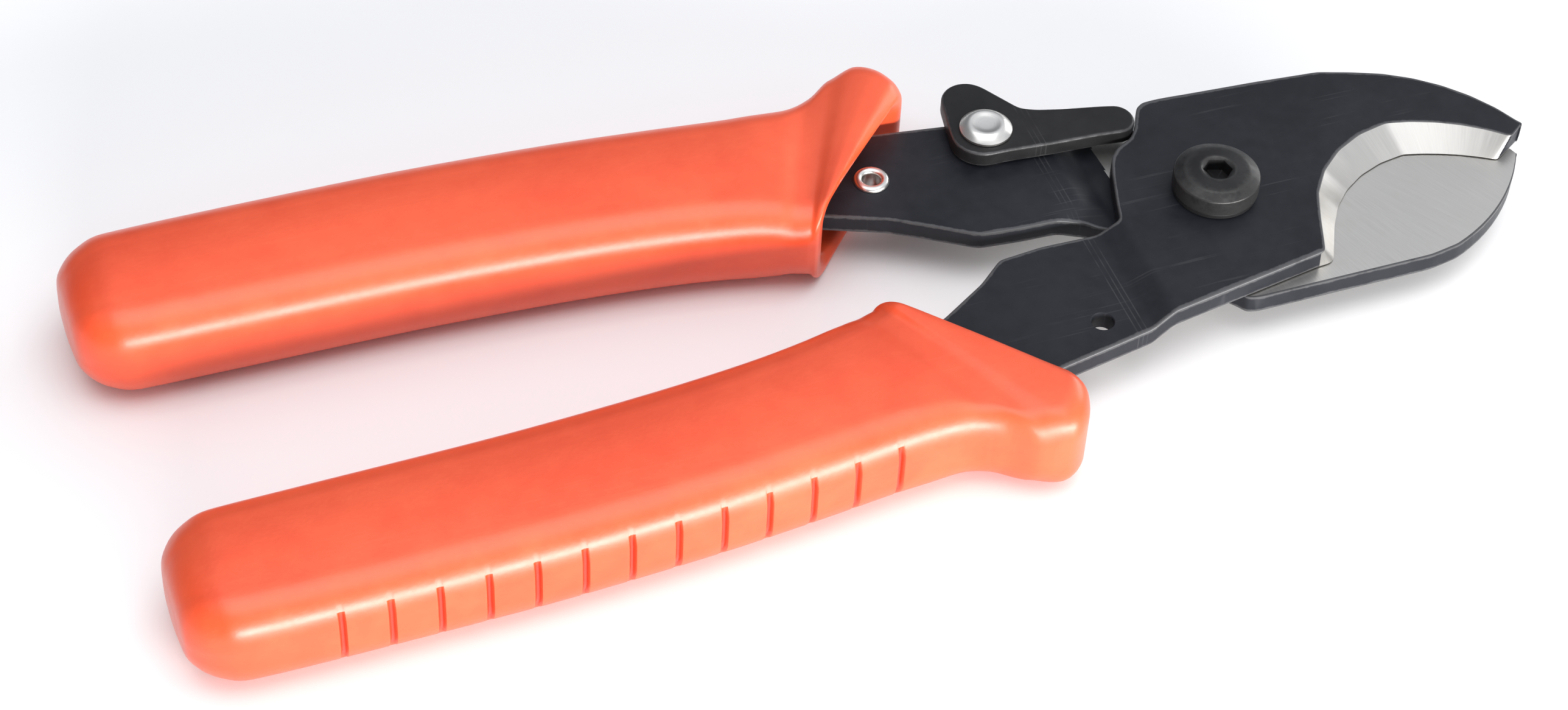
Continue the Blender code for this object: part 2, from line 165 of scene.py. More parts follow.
def softened(columns, spacing, sigma):
    """Evenly spaced columns averaged along the path with a Gaussian weight of width sigma, ends held."""
    reach = int(3 * sigma / spacing) + 1
    weight = np.exp(-0.5 * (np.arange(-reach, reach + 1) * spacing / sigma) ** 2)
    weight /= weight.sum()
    before = 2 * columns[:1] - columns[reach:0:-1]
    after = 2 * columns[-1:] - columns[-2:-reach - 2:-1]
    padded = np.vstack([before, columns, after])
    return np.stack([np.convolve(column, weight, mode="valid") for column in padded.T], axis=1)


def monotone(stations, fine):
    """Piecewise cubic through the stations without overshoot: end slopes are harmonic means of the chords."""
    stations = np.array(stations, float)
    count = len(stations)
    chord = np.diff(stations, axis=0)
    product = chord[1:] * chord[:-1]
    total = chord[1:] + chord[:-1]
    safe = np.where(np.abs(total) < 1e-12, 1.0, total)
    inner = np.where(product > 0, 2 * product / safe, 0.0)
    slope = np.vstack([chord[:1], inner, chord[-1:]])
    k = np.clip(fine.astype(int), 0, count - 2)
    t = (fine - k)[:, None]
    a, b, ma, mb = stations[k], stations[k + 1], slope[k], slope[k + 1]
    return (a * (2 * t ** 3 - 3 * t ** 2 + 1) + ma * (t ** 3 - 2 * t ** 2 + t)
            + b * (3 * t ** 2 - 2 * t ** 3) + mb * (t ** 3 - t ** 2))


def smoothstep(low, high, x):
    """0 below low, 1 above high and an S-shaped cubic between them."""
    t = np.clip((x - low) / (high - low), 0, 1)
    return t * t * (3 - 2 * t)


def eased(points, radius, steps=5, closed=False):
    """Corners replaced by parabolas that start and end radius away from them along each side."""
    points = np.array(points, float)
    radius = np.broadcast_to(np.asarray(radius, float), (len(points),))[:, None]
    before = np.roll(points, 1, axis=0) - points
    after = np.roll(points, -1, axis=0) - points
    leave = points + after / np.linalg.norm(after, axis=1, keepdims=True) * radius
    enter = points + before / np.linalg.norm(before, axis=1, keepdims=True) * radius
    t = np.linspace(0, 1, steps + 1)[None, :, None]
    bent = (1 - t) ** 2 * enter[:, None] + 2 * t * (1 - t) * points[:, None] + t ** 2 * leave[:, None]
    if closed:
        return bent.reshape(-1, points.shape[1])
    return np.vstack([points[:1], bent[1:-1].reshape(-1, points.shape[1]), points[-1:]])


def inward(path, closed=False):
    """Unit vectors in the plan, a quarter turn clockwise from the path's direction."""
    if closed:
        along = np.roll(path, -1, axis=0) - np.roll(path, 1, axis=0)
    else:
        along = np.gradient(path, axis=0)
    along /= np.linalg.norm(along, axis=1, keepdims=True)
    return np.column_stack([along[:, 1], -along[:, 0]])


# ---------------------------------------------------------------- meshes

def wrapped(values, around, along):
    """Values with their first column repeated at the end of each row, and their first row at the end."""
    values = np.concatenate([values, values[:, :1]], axis=1) if around else values
    return np.concatenate([values, values[:1]]) if along else values


def at_corners(values):
    """The values at the four corners of each quad between neighbouring rows and columns, in loop order."""
    return np.stack([values[:-1, :-1], values[:-1, 1:], values[1:, 1:], values[1:, :-1]], axis=2)


def volume_under(points, quads):
    """Six times the signed volume between the quads, each cut into two triangles, and the origin."""
    a, b, c, d = (points[quads[:, k]] for k in range(4))
    return np.einsum("ij,ij->i", a, np.cross(b, c)).sum() + np.einsum("ij,ij->i", a, np.cross(c, d)).sum()


def surface(name, grid, wear=None, around=True, along=False, capped=True, zones=None):
    """Piece from an array of points (row, column, xyz): quads between neighbours, seams joined, ends fanned.

    around joins the last column to the first and along the last row to the first; capped closes the end
    rows with a fan to their middle.  "lay" holds millimetres along the rows and columns, "wear" the
    distance to the nearest edge and a second value; zones gives each quad's material number.
    """
    rows, columns = grid.shape[:2]
    index = np.arange(rows * columns).reshape(rows, columns)
    closed = wrapped(grid, around, along)
    lay = np.zeros(closed.shape[:2] + (2,))
    lay[1:, :, 0] = np.cumsum(np.linalg.norm(np.diff(closed, axis=0), axis=2).mean(axis=1))[:, None]
    lay[:, 1:, 1] = np.cumsum(np.linalg.norm(np.diff(closed, axis=1), axis=2), axis=1)
    wear = np.ones((rows, columns, 2)) * [FAR_FROM_EDGES, 0.0] if wear is None else wear
    wear = wrapped(wear, around, along)
    points = grid.reshape(-1, 3)
    quads = at_corners(wrapped(index, around, along)).reshape(-1, 4)
    layers = [at_corners(values).reshape(-1, 2) for values in (lay, wear)]
    marks = np.zeros(len(quads), int) if zones is None else zones.reshape(-1)
    inside_out = volume_under(points, quads) < 0
    polygons = quads.tolist()
    if capped:
        wide = wrapped(index, around, False)
        points = np.vstack([points, grid[0].mean(axis=0), grid[-1].mean(axis=0)])
        for row, tip, order in ((0, len(points) - 2, -1), (-1, len(points) - 1, 1)):
            ring = wide[row]
            fan = np.column_stack([ring[:-1], ring[1:], np.full(columns, tip)])[:, ::order]
            polygons += fan.tolist()
            layers = [np.vstack([layer, np.repeat(value[row].mean(axis=0)[None], fan.size, axis=0)])
                      for layer, value in zip(layers, (lay, wear))]
            marks = np.concatenate([marks, np.full(len(fan), marks[row])])
    mesh = bpy.data.meshes.new(name)
    mesh.from_pydata((PIVOT + points * MM).tolist(), [], polygons)
    for layer_name, layer in zip(("lay", "wear"), layers):
        mesh.uv_layers.new(name=layer_name).data.foreach_set("uv", layer.astype(np.float32).ravel())
    mesh.polygons.foreach_set("material_index", marks.astype(np.int32))
    if inside_out:
        mesh.flip_normals()
    mesh.validate()
    smoothed(mesh)
    return placed(name, mesh)


def placed(name, data):
    """Object of a mesh, a light or a camera, put in the scene."""
    thing = bpy.data.objects.new(name, data)
    bpy.context.scene.collection.objects.link(thing)
    return thing


def smoothed(mesh):
    """Shades a mesh smooth between its sharp edges."""
    mesh.shade_smooth()
    mesh.set_sharp_from_angle(angle=SHARP_ANGLE)


def edge_distance(grid, travel, edges):
    """Wear layer of a grid from each row's distance, along the profile, to the nearest of its edges."""
    wear = np.zeros(grid.shape[:2] + (2,))
    wear[..., 0] = np.abs(travel[:, None] - np.array(edges)[None]).min(axis=1)[:, None]
    return wear


def turned(name, profile, centre=(0.0, 0.0), radius_at=None, steps=128, wear_and_shade=None):
    """Profile of (radius, z) turned about Z; radius_at changes each radius with its angle.

    A profile that starts and ends on the axis is closed by its two poles, any other one is a closed loop.
    The wear places are the rubbed edges, or the centre of the rivet's painted dark reflection, as distances
    along the profile.
    """
    profile = np.array(profile, float)
    poles = profile[0, 0] < 1e-6 and profile[-1, 0] < 1e-6
    rows = profile[1:-1] if poles else profile
    angle = np.linspace(0, 2 * math.pi, steps, endpoint=False)
    radius = np.repeat(rows[:, :1], steps, axis=1)
    if radius_at is not None:
        radius = radius_at(radius, rows[:, 1:], angle[None])
    grid = np.stack([centre[0] + radius * np.cos(angle), centre[1] + radius * np.sin(angle),
                     np.repeat(rows[:, 1:], steps, axis=1)], axis=2)
    wear = None if wear_and_shade is None else edge_distance(grid, chord_length(rows), wear_and_shade)
    return surface(name, grid, wear=wear, along=not poles, capped=poles)


def cut(piece, *tools):
    """Takes the tools' volumes out of a piece and keeps the result.

    The solver is the manifold one: the exact one turns the rear blade inside out.
    """
    for tool in tools:
        boolean = piece.modifiers.new("cut", "BOOLEAN")
        boolean.operation = "DIFFERENCE"
        boolean.solver = "MANIFOLD"
        boolean.object = tool
        evaluated = piece.evaluated_get(bpy.context.evaluated_depsgraph_get())
        result = bpy.data.meshes.new_from_object(evaluated)
        piece.modifiers.clear()
        piece.data = result
        bpy.data.objects.remove(tool)
    smoothed(piece.data)


def hexagon(flats, angle, turn=0.0):
    """Radius of a regular hexagon in a direction: half its flats over the cosine to the nearest flat."""
    sector = math.pi / 3
    return flats / 2 / np.cos((angle - turn + sector / 2) % sector - sector / 2)


# ---------------------------------------------------------------- blades

def tang_edges():
    """Inner and outer edge points of a tang inside its grip, for the upper handle."""
    lower = [(-62.0, 15.8), (-75.0, 18.0), (-100.0, 20.0), (-150.0, 22.0)]
    upper = [(-65.0, 31.5), (-77.0, 32.6), (-100.0, 34.0), (-150.0, 35.0)]
    return lower, upper


def front_outline():
    """Spine, top edge of the ground bevel and cutting edge, station by station from tip to tang."""
    tang_lower, tang_upper = tang_edges()
    spine = joined(arc(TIP, (46.8, 10.6), (33.5, 18.6), 6),
                   [(28.0, 20.4), (23.0, 20.8), (17.0, 21.3), (10.0, 21.7), (5.0, 22.0), (2.2, 22.2),
                    (0.0, 22.3), (-2.4, 22.2), (-3.8, 21.3),
                    (-5.8, 17.4), (-7.5, 15.2), (-10.5, 13.7), (-12.3, 11.8), (-13.7, 8.4), (-15.7, 2.1),
                    (-16.6, -1.3), (-20.6, -1.9), (-30.0, -1.7), (-37.2, -2.4), (-41.8, -6.3),
                    (-50.0, -11.4)], flipped(tang_lower))
    below = joined(spread((10.3, -17.5), (-16.6, -22.2), 9),
                   [(-20.6, -23.2), (-29.3, -24.9), (-36.0, -26.2), (-43.0, -27.8), (-52.0, -29.9)],
                   flipped(tang_upper))
    flat = joined([(53.6, -1.2)], arc((51.1, -3.0), (42.7, 2.9), (33.0, 6.0), 5),
                  arc((33.0, 6.0), (20.3, 0.5), (13.4, -10.4), 5)[1:], [(10.9, -17.1)], below)
    sharp = joined([(53.3, -1.5)], arc((48.5, -4.4), (41.6, -0.9), (34.4, 1.3), 5),
                   arc((34.4, 1.3), (22.6, -3.0), (16.5, -10.2), 5)[1:], [(12.8, -17.3)], below)
    return spine, flat, sharp


def rear_outline():
    """The same three edges of the other blade, whose spine is the tool's lower side."""
    tang_lower, tang_upper = tang_edges()
    spine = joined(arc((52.3, -3.8), (45.4, -12.4), (33.5, -19.7), 12),
                   spread((28.5, -20.6), (-1.4, -20.6), 3),
                   [(-3.1, -20.1), (-3.9, -18.8), (-7.0, -14.9), (-12.2, -8.2), (-16.6, -0.4), (-20.6, 1.8),
                    (-25.7, 2.8), (-31.0, 3.0), (-37.9, 3.6), (-45.0, 8.0), (-50.0, 11.0)], tang_lower)
    above = joined(spread((6.0, 18.4), (-16.6, 21.2), 7),
                   [(-20.6, 23.2), (-27.0, 26.8), (-33.0, 28.0), (-38.0, 28.7), (-43.0, 29.4),
                    (-52.0, 30.4)], tang_upper)
    sharp = joined([(51.6, -1.9)], arc((49.4, 0.4), (41.0, 4.6), (31.5, 6.2), 6),
                   arc((31.5, 6.2), (20.5, 9.4), (13.2, 17.2), 6)[1:], above)
    flat = joined([(51.0, -3.6)], arc((48.0, -4.2), (40.0, 0.4), (31.0, 1.9), 6),
                  arc((31.0, 1.9), (18.5, 5.6), (11.2, 14.6), 6)[1:], above)
    return spine, flat, sharp


def bend(distance, length):
    """Straight ramp from 0 to 1 over a length, with a parabola of one bend radius at each fold."""
    def half(q):
        return np.where(q < -BEND, 0, np.where(q > BEND, q, (q + BEND) ** 2 / (4 * BEND)))
    return (half(distance) - half(distance - length)) / length


def front_step(x, y):
    """Height of the front blade: a straight fall from the head to the tang, along x only."""
    return -STEP_DEPTH * bend(STEP_START - x, STEP_LENGTH)


def rear_step(x, y):
    """Height of the rear blade's tang, whose lower corner is cut off by a second, slanted fold line."""
    slanted = SLANT_NORMAL[0] * (x - SLANT_POINT[0]) + SLANT_NORMAL[1] * (y - SLANT_POINT[1])
    return STEP_DEPTH * (1 - bend(np.maximum(x - REAR_STEP_START, slanted), REAR_STEP_LENGTH))


def bent_corner(corner, first, second, steps):
    """Parabola from corner + first to corner + second, as (row, step, xyz)."""
    t = np.linspace(0, 1, steps)[None, :, None]
    return corner[:, None] + (1 - t) ** 2 * first[:, None] + t ** 2 * second[:, None]


def stations(outline):
    """The outline's three edges, softened and evenly spaced, thinned out inside the grip.

    Returns them with a mark for each station that lies behind the nose's end face.
    """
    coarse = [np.array(points, float) for points in outline]
    travel = np.mean([chord_length(points) for points in coarse], axis=0)
    even = np.arange(0, travel[-1], RING_SPACING)
    fine = [softened(np.column_stack([np.interp(even, travel, p[:, k]) for k in (0, 1)]),
                     RING_SPACING, OUTLINE_SOFTNESS) for p in coarse]
    in_grip = fine[0][:, 0] < HIDDEN_IN_GRIP
    first_hidden = len(even) - in_grip.sum()
    keep = np.concatenate([np.flatnonzero(~in_grip), np.arange(first_hidden, len(even), 12)])
    return [points[keep] for points in fine], even[keep] > travel[1]


def at_height(plan, z):
    """Points of a plan at one height."""
    return np.column_stack([plan, np.full(len(plan), z)])


def level(direction, length):
    """Horizontal vectors of a length along directions in the plan."""
    return np.column_stack([direction * np.reshape(length, (-1, 1)), np.zeros(len(direction))])


def between(start, end, count, inset):
    """Rows of points from the end of one corner to the start of the next, the outer two set in a little."""
    t = np.linspace(0, 1, count)
    t = np.concatenate([[inset / 3], t[1:-1], [1 - inset / 3]])[None, :, None]
    return start[:, -1:] + (end[:, :1] - start[:, -1:]) * t


def blade(name, outline, step, open_z, mating_z):
    """Ring of points across the plate, carried from the tip to the tang's end.

    Each ring runs up the spine's wall, over the open face, down the ground bevel (or the wall, where there
    is no bevel) and back along the mating face.  Its corners are parabolas that shrink with the plate's
    width, and every point is raised by the blade's step at its place.
    """
    (spine, flat, sharp), behind_nose = stations(outline)
    side = np.sign(np.cross(np.gradient(spine, axis=0), sharp - spine))[len(spine) // 2]
    spine_in = -side * inward(spine)
    flat_in, sharp_in = side * inward(flat), side * inward(sharp)
    drop = np.array([0, 0, -math.copysign(1.0, open_z - mating_z)])
    bevel_width = np.linalg.norm(flat - sharp, axis=1)
    crisp = smoothstep(0.05, 0.7, bevel_width)
    narrow = 0.16 * np.linalg.norm(flat - spine, axis=1)
    top_round = np.minimum(TOP_ROUND - 0.22 * crisp, narrow)
    low_round = np.minimum(LOW_ROUND - 0.09 * crisp, narrow)
    spine_round = np.minimum(TOP_ROUND, narrow)
    top_s, low_s = at_height(spine, open_z), at_height(spine, mating_z)
    top_f, low_e = at_height(flat, open_z), at_height(sharp, mating_z)
    fall = low_e - top_f
    fall /= np.linalg.norm(fall, axis=1, keepdims=True)
    foot = bent_corner(low_s, level(spine_in, LOW_ROUND), np.broadcast_to(-drop * LOW_ROUND, low_s.shape), 4)
    back = bent_corner(top_s, drop * spine_round[:, None], level(spine_in, spine_round), 6)
    brow = bent_corner(top_f, level(flat_in, top_round), fall * top_round[:, None], 5)
    edge = bent_corner(low_e, -fall * low_round[:, None], level(sharp_in, low_round), 4)
    parts = [foot, between(foot, back, 4, 0.04), back, between(back, brow, 16, 0.02),
             brow, between(brow, edge, 7, 0.04), edge, between(edge, foot, 12, 0.02)]
    grid = np.concatenate(parts, axis=1)
    grid[..., 2] += step(grid[..., 0], grid[..., 1])
    wear_and_shade = np.concatenate([span_edges(p, k % 2 == 0) for k, p in enumerate(parts)], axis=1)
    numbers = np.concatenate([np.full(p.shape[1], k) for k, p in enumerate(parts)])
    ground = np.zeros(grid.shape[:2])
    ground[:, np.isin(numbers, (5, 6))] = ((bevel_width > 0.35) & behind_nose)[:, None]
    ground[:, numbers == 7] = 1.0
    ground *= grid[..., 0] > GROUND_END
    follow = wrapped(ground, True, False)
    zones = np.minimum(follow[:-1, :-1], follow[:-1, 1:]).astype(int)
    wear = np.stack([wear_and_shade, ground], axis=2)
    return surface(name, np.concatenate([tip_rings(grid), grid]), wear=np.concatenate([wear[:3], wear]),
                   zones=np.concatenate([zones[:3] * 0, zones]))


def span_edges(span, corner):
    """Distance of each point of a span to the nearer of its two ends; nothing within a corner."""
    if corner:
        return np.zeros(span.shape[:2])
    length = np.linalg.norm(span[:, -1] - span[:, 0], axis=1)[:, None]
    t = np.linspace(0, 1, span.shape[1])[None]
    return np.minimum(t, 1 - t) * length


def tip_rings(grid):
    """Three rings that close the nose: the first ring shrunk and pushed forward on a quarter ellipse."""
    first = grid[0]
    middle = first.mean(axis=0)
    turn = np.radians([75.0, 50.0, 25.0])[:, None, None]
    return middle + (first - middle) * (1 - NOSE_PINCH * (1 - np.cos(turn))) + NOSE_FORWARD * np.sin(turn)


def ring_tool():
    """Closed ring for cutting the spring's recess."""
    loop = [(RECESS_INNER, -RECESS_DEPTH), (RECESS_OUTER, -RECESS_DEPTH),
            (RECESS_OUTER, RECESS_DEPTH), (RECESS_INNER, RECESS_DEPTH)]
    return turned("recess_tool", loop, steps=96)


def flared_bar_tool(radius, half_length, centre):
    """Round bar for cutting a hole, widening at 45 degrees from just inside the plate's faces."""
    far = half_length + 1.0
    wide = radius + 1.0 + HOLE_CHAMFER
    straight = half_length - HOLE_CHAMFER
    profile = [(0, -far), (wide, -far), (radius, -straight), (radius, straight), (wide, far), (0, far)]
    return turned("hole_tool", profile, centre=centre, steps=72)


def bar_tool(radius, low, high, centre=(0.0, 0.0)):
    """Straight round bar for cutting a hole."""
    return turned("hole_tool", [(0, low), (radius, low), (radius, high), (0, high)], centre=centre, steps=72)


def make_blades(finishes):
    """Both plates with their pivot holes and the ring recess, and each one's own holes."""
    steels = finishes["blackened"], finishes["ground"]
    front = blade("front_blade_steel", front_outline(), front_step, HEAD_TOP, MATING_GAP)
    dress(front, *steels)
    cut(front, bar_tool(PIVOT_HOLE, -2, 6), ring_tool(),
        flared_bar_tool(TANG_HOLE_RADIUS, TANG_TOP, TANG_HOLE))
    rear = blade("rear_blade_steel", rear_outline(), rear_step, -HEAD_TOP, -MATING_GAP)
    dress(rear, *steels)
    cut(rear, bar_tool(PIVOT_HOLE, -6, 2), ring_tool(),
        bar_tool(RIVET_HOLE, -4, 4, LATCH_PIVOT), bar_tool(EYELET_SHANK + 0.08, -4, 4, EYELET))
    for piece, body, node in ((front, "lower_handle", "front_blade"), (rear, "upper_handle", "rear_blade")):
        finish(piece, body, node, "blackened_steel")


def dress(piece, *materials):
    """Gives a piece its materials, in the order of its zones."""
    for material in materials:
        piece.data.materials.append(material)


def finish(piece, body, node, slot, *materials):
    """Dresses a piece, rides it on its body and lets it stand for its CAD node."""
    dress(piece, *materials)
    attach(piece, body)
    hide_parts(node)


# ---------------------------------------------------------------- grips

def grip_stations():
    """Inner point, outer point, height and corner radius from the butt to the mouth and down the hollow."""
    full = GRIP_HEIGHT
    skin = [((BUTT, 25.6), (BUTT, 33.0), 4.6, 2.0), ((-171.7, 22.2), (-171.7, 36.4), 9.0, 3.8),
            ((-170.3, 19.8), (-170.3, 38.5), 12.6, 5.2), ((-167.7, 17.9), (-167.7, 40.3), 15.4, 6.0),
            ((-163.6, 16.8), (-163.6, 41.4), full, 6.2), ((-150.0, 16.5), (-150.0, 41.6), full, 6.2),
            ((-125.0, 16.1), (-125.0, 41.4), full, 6.2), ((-100.0, 14.9), (-98.0, 40.2), full, 6.2),
            ((-82.0, 13.2), (-78.0, 38.4), full, 6.2), ((-71.0, 11.4), (-64.0, 36.8), full, 6.0),
            ((-66.5, 10.3), (-56.5, 36.4), full - 0.8, 5.8), ((-63.8, 9.4), (-51.0, 38.2), full - 2.2, 5.6),
            ((-61.6, 8.9), (-46.3, 41.2), full - 2.0, 5.4), ((-60.6, 8.9), (-42.2, 41.9), full - 0.6, 4.8),
            ((-59.9, 9.2), (-38.8, 39.6), full, 4.4), ((-59.4, 9.8), (-37.2, 36.2), full - 0.2, 4.0),
            ((-58.7, 10.9), (-36.7, 33.9), full - 2.2, 3.6)]
    hollow = [((-58.5, 12.4), (-38.4, 32.0), 12.0, 3.2), ((-60.4, 13.4), (-42.6, 32.2), 10.6, 3.0),
              ((-67.0, 15.4), (-54.0, 31.6), 4.2, 0.6), ((-100.0, 19.2), (-100.0, 34.8), 4.2, 0.6),
              ((-153.0, 21.2), (-153.0, 35.8), 4.2, 0.6)]
    table = np.array([[*inner, *outer, height, corner] for inner, outer, height, corner in skin + hollow])
    return table, len(skin)


def grip_rows():
    """Station numbers of all rings: even along the skin, and closer together at each groove's walls."""
    table, mouth = grip_stations()
    travel = chord_length(table[:mouth, 2:4])
    even = np.interp(np.arange(0, travel[-1], 0.7), travel, np.arange(mouth))
    centres = np.arange(GROOVE_FIRST, GROOVE_LAST + 0.1, GROOVE_PITCH)
    half = np.array([0.14, 0.24, 0.34, 0.44, 0.56, 0.7])
    offsets = np.concatenate([-half[::-1], [0.0], half])
    dense = np.linspace(4, mouth - 1, 4000)
    outer_x = monotone(table[:mouth], dense)[:, 2]
    groove = np.interp((centres[:, None] + offsets).ravel(), outer_x, dense)
    lip = mouth - 1 + np.linspace(0, 2, 15)
    inside = np.linspace(mouth + 1.15, len(table) - 1, 14)
    return np.unique(np.round(np.concatenate([even, groove, lip, inside]), 4)), mouth


def round_template():
    """Points round a rounded rectangle: side and height factors, and the corner's cosine and sine."""
    quarter = np.radians(np.linspace(0, 90, 11))
    corners = np.array([[1, 1], [-1, 1], [-1, -1], [1, -1]], float)
    pieces = []
    for k, (a, b) in enumerate(corners):
        angle = quarter + math.pi / 2 * k
        pieces.append(np.column_stack([np.full(11, a), np.full(11, b), np.cos(angle), np.sin(angle)]))
        count = 14 if k % 2 == 0 else 7
        following = corners[(k + 1) % 4]
        t = np.linspace(0, 1, count + 2)[1:-1, None]
        flat = np.array([a, b]) * (1 - t) + following * t
        normal = np.tile([math.cos(math.pi / 2 * (k + 1)), math.sin(math.pi / 2 * (k + 1))], (count, 1))
        pieces.append(np.column_stack([flat, normal]))
    return np.vstack(pieces)


def grip_skin(side, setback):
    """Rounded rectangles standing on the line from inner to outer point, with a crowned top and grooves.

    Width runs along the line, height along Z.  The grooves are dents in the outer side: a flat-bottomed
    pulse of the distance to the nearest groove, faded out above and below.
    """
    rows, mouth = grip_rows()
    table, _ = grip_stations()
    values = monotone(table, rows)
    inner, outer, height, corner = values[:, 0:2], values[:, 2:4], values[:, 4:5], values[:, 5:6]
    width = np.linalg.norm(outer - inner, axis=1, keepdims=True)
    across = (outer - inner) / width
    corner = np.minimum(corner, 0.49 * np.minimum(width, height))
    a, b, cosine, sine = round_template().T
    v = width / 2 + a * (width / 2 - corner) + cosine * corner
    z = b * (height / 2 - corner) + sine * corner
    skin = smoothstep(mouth - 0.2, mouth - 1.2, rows)[:, None]
    crown = np.abs(a) ** 2 * np.abs(sine) * CROWN
    z -= np.sign(z) * crown * skin
    plan = inner[:, None] + across[:, None] * v[..., None]
    phase = (plan[..., 0] - GROOVE_FIRST) / GROOVE_PITCH
    nearest = np.round(phase)
    inside = (nearest >= 0) & (nearest <= round((GROOVE_LAST - GROOVE_FIRST) / GROOVE_PITCH))
    pulse = (1 - smoothstep(*GROOVE_WALL, np.abs(phase - nearest) * GROOVE_PITCH)) * inside
    window = smoothstep(*GROOVE_BOTTOM, z) * (1 - smoothstep(*GROOVE_TOP, z))
    outside = smoothstep(0.4, 0.95, cosine) * (a > 0) * (rows < mouth)[:, None]
    dent = GROOVE_DEPTH * pulse * window * outside
    plan -= across[:, None] * dent[..., None]
    plan[..., 0] -= setback
    grid = np.stack([plan[..., 0], side * plan[..., 1], z], axis=2)
    from_mouth = np.clip(np.abs(rows - (mouth + 0.2)), 0, FAR_FROM_EDGES)[:, None] * np.ones_like(z)
    # The second value, the groove's depth, darkens the vinyl there as painted shade
    return grid, np.stack([from_mouth, dent / GROOVE_DEPTH], axis=2)


def make_grips(vinyl):
    """The same sleeve twice: pushed on a little less far above, and mirrored below."""
    for name, node, body, side, setback in (
            ("upper_grip_sleeve", "upper_grip", "upper_handle", 1, UPPER_GRIP_SETBACK),
            ("lower_grip_sleeve", "lower_grip", "lower_handle", -1, 0.0)):
        grid, wear = grip_skin(side, setback)
        piece = surface(name, grid, wear=wear)
        finish(piece, body, node, "orange_vinyl", vinyl)


# ---------------------------------------------------------------- pivot stack

def make_bolt(black):
    """Turned flanged head with a chamfered rim and a low crown; the socket's rows are hexagons."""
    top = HEAD_BASE + 3.9
    outside = eased([(0, COLLAR_BOTTOM), (BOLT_RADIUS, COLLAR_BOTTOM), (BOLT_RADIUS, HEAD_BASE),
                     (HEAD_RADIUS, HEAD_BASE), (HEAD_RADIUS, top - 1.15), (5.15, top - 0.42),
                     (3.2, top - 0.06), (2.75, top)], [0, 0.5, 0.08, 0.18, 0.3, 0.35, 0.25, 0], 6)
    rim = np.array([(2.6, top - 0.02), (2.45, top - 0.12), (2.32, top - 0.3)])
    socket = eased([(2.3, top - 0.32), (2.3, top - 2.4), (0, top - 2.9)], [0, 0.12, 0], 4)
    profile = np.vstack([outside, rim, socket])

    def radius_at(radius, z, angle):
        inside = (z > top - 2.42) & (radius < 2.5) & (z < top - 0.2)
        socket_radius = np.minimum(hexagon(SOCKET_FLATS, angle, 0.2), SOCKET_FLATS / math.sqrt(3))
        return np.where(inside, radius / 2.3 * socket_radius, radius)

    travel = chord_length(profile[1:-1])
    corners = [HEAD_RADIUS, HEAD_BASE], [HEAD_RADIUS, top - 1.15], [5.15, top - 0.42], [2.6, top]
    rim_at = [travel[np.argmin(np.abs(profile[1:-1] - corner).sum(axis=1))] for corner in corners]
    piece = turned("pivot_bolt_head", profile, radius_at=radius_at, steps=144, wear_and_shade=rim_at)
    finish(piece, "upper_handle", "pivot_bolt", "black_screw", black)


def make_nut(steel, nylon):
    """Hexagon cut by a 30 degree cone at its lower rim, then a round collar rolled over the nylon ring."""
    top = -HEAD_BASE
    cone = NUT_FLATS / math.sqrt(3)
    inner = eased([(BORE, COLLAR_BOTTOM + 1.0), (BORE, top), (cone * 0.86, top)], [0, 0.1, 0], 3)[1:]
    hexagon_rows = np.column_stack([np.full(10, cone), np.linspace(top - 0.02, NUT_BOTTOM + 0.02, 10)])
    collar = eased([(6.1, NUT_BOTTOM), (5.4, NUT_BOTTOM), (5.4, COLLAR_BOTTOM), (4.85, COLLAR_BOTTOM),
                    (4.85, NUT_BOTTOM + 0.1), (BORE, NUT_BOTTOM + 0.1)], [0, 0.15, 0.25, 0.15, 0.05, 0], 4)
    profile = np.vstack([inner, hexagon_rows, collar])

    def radius_at(radius, z, angle):
        low = np.minimum(z - NUT_BOTTOM, (top - z) * 2.2 + 0.9)
        chamfer = NUT_FLATS / 2 * 0.965 + np.maximum(low, 0) / math.tan(math.radians(30))
        return np.where(radius > cone * 0.99, np.minimum(hexagon(NUT_FLATS, angle, 0.35), chamfer), radius)

    nut = turned("lock_nut_hexagon", profile, radius_at=radius_at, steps=180)
    finish(nut, "upper_handle", "lock_nut", "plain_steel", steel)
    ring = eased([(4.12, COLLAR_BOTTOM + 0.15), (4.72, COLLAR_BOTTOM + 0.1), (4.72, NUT_BOTTOM - 0.02),
                  (4.12, NUT_BOTTOM - 0.02)], [0.12, 0.1, 0.05, 0.05], 4, closed=True)
    finish(turned("nut_nylon_ring", ring, steps=96), "upper_handle", "nut_insert", "white_nylon", nylon)


def washer(name, inner, outer, low, high, centre, radius):
    """Flat ring with rounded edges."""
    corner = [radius * 0.6, radius, radius, radius * 0.6]
    loop = eased([(inner, low), (outer, low), (outer, high), (inner, high)], corner, 5, closed=True)
    return turned(name, loop, centre=centre, steps=120)


def make_washers(black, steel):
    """Two thrust washers outside the blades and two thin ones either side of the latch's tang."""
    pivot, latch = (0.0, 0.0), LATCH_PIVOT
    for name, node, slot, material, *sizes in (
            ("front_thrust_washer", "front_washer", "black_screw", black,
             BORE, WASHER_RADIUS, WASHER_LOW, WASHER_HIGH, pivot, 0.16),
            ("rear_thrust_washer", "rear_washer", "plain_steel", steel,
             BORE, WASHER_RADIUS, -WASHER_HIGH, -WASHER_LOW, pivot, 0.16),
            ("latch_friction_washer", "latch_washer", "plain_steel", steel,
             RIVET_HOLE, 4.6, TANG_TOP + 0.07, TANG_TOP + 0.37, latch, 0.1),
            ("latch_rear_washer", "latch_backing_washer", "plain_steel", steel,
             RIVET_HOLE, 4.4, -TANG_TOP - 0.5, -TANG_TOP - 0.08, latch, 0.12)):
        finish(washer(name, *sizes), "upper_handle", node, slot, material)


# ---------------------------------------------------------------- latch and rivets

